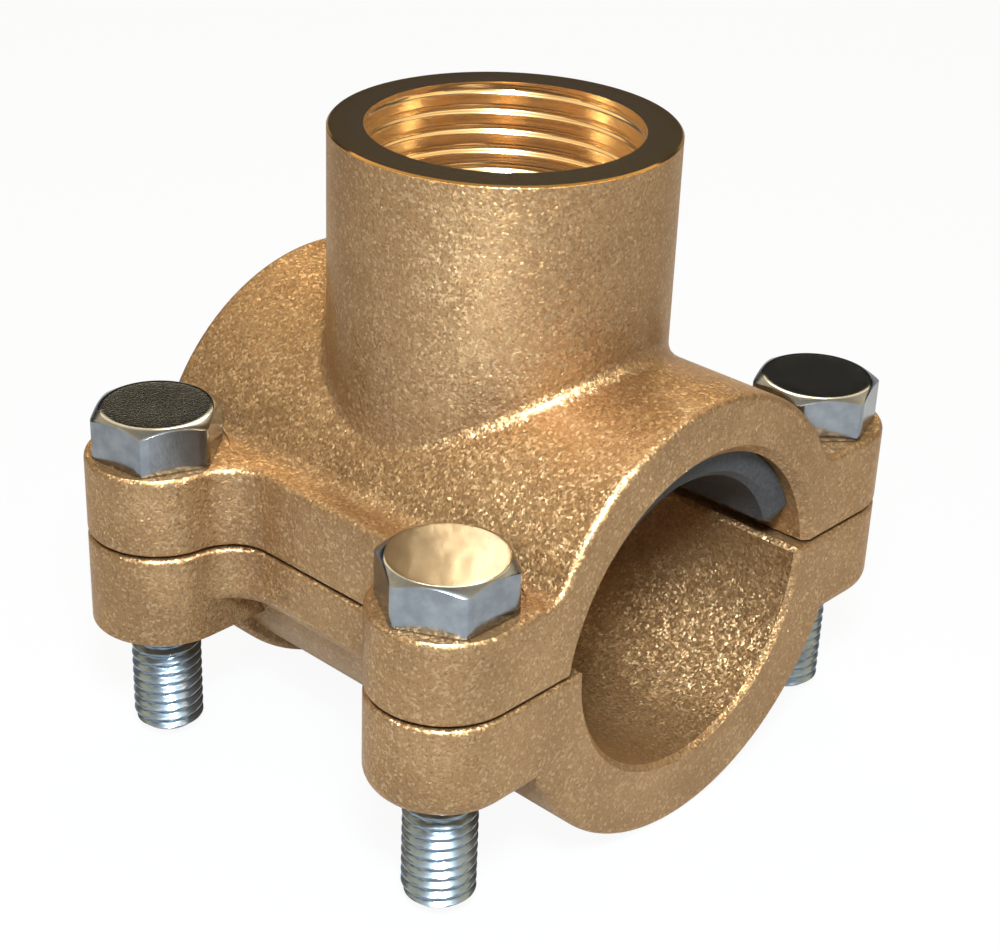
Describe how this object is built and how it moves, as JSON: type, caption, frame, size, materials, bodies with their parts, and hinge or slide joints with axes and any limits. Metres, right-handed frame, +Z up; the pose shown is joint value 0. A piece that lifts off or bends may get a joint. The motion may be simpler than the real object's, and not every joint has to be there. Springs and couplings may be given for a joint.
{
  "type": "tapping saddle",
  "caption": "Two-part cast bronze tapping saddle: an upper half with a threaded outlet boss and rubber gasket, bolted through ears to a lower strap round a tube.",
  "frame": {"origin": "on the tube's axis, half way along the saddle", "axes": "+X across the tube, +Y along the tube, +Z up the outlet boss"},
  "size_m": [0.0762, 0.0606, 0.0722],
  "materials": {
    "cast_bronze": "sand cast, with a machined outlet",
    "zinc_steel": "zinc plated",
    "black_rubber": "moulded"
  },
  "bodies": {
    "saddle": {"upper_saddle": "cast_bronze", "saddle_gasket": "black_rubber"},
    "strap": {"lower_strap": "cast_bronze"},
    "bolt_rear_left": {"bolt_rear_left": "zinc_steel"},
    "bolt_front_left": {"bolt_front_left": "zinc_steel"},
    "bolt_front_right": {"bolt_front_right": "zinc_steel"},
    "bolt_rear_right": {"bolt_rear_right": "zinc_steel"}
  },
  "joints": [
    {"name": "bolt_rear_left_turn", "type": "hinge", "parent": "saddle", "child": "bolt_rear_left", "pos_m": [-0.03, 0.0222, 0.0102], "axis": [0, 0, 1], "range_deg": [0, 4321]},
    {"name": "bolt_front_left_turn", "type": "hinge", "parent": "saddle", "child": "bolt_front_left", "pos_m": [-0.03, -0.0222, 0.0102], "axis": [0, 0, 1], "range_deg": [0, 4321]},
    {"name": "bolt_front_right_turn", "type": "hinge", "parent": "saddle", "child": "bolt_front_right", "pos_m": [0.03, -0.0222, 0.0102], "axis": [0, 0, 1], "range_deg": [0, 4321]},
    {"name": "bolt_rear_right_turn", "type": "hinge", "parent": "saddle", "child": "bolt_rear_right", "pos_m": [0.03, 0.0222, 0.0102], "axis": [0, 0, 1], "range_deg": [0, 4321]},
    {"name": "strap_travel", "type": "slide", "parent": "saddle", "child": "strap", "axis": [0, 0, -1], "range_m": [0, 0.015]}
  ],
  "couplings": [
    {"joint": "bolt_rear_left_turn", "follows": "strap_travel", "rad_per_m": 5026.5},
    {"joint": "bolt_front_left_turn", "follows": "strap_travel", "rad_per_m": 5026.5},
    {"joint": "bolt_front_right_turn", "follows": "strap_travel", "rad_per_m": 5026.5},
    {"joint": "bolt_rear_right_turn", "follows": "strap_travel", "rad_per_m": 5026.5}
  ]
}
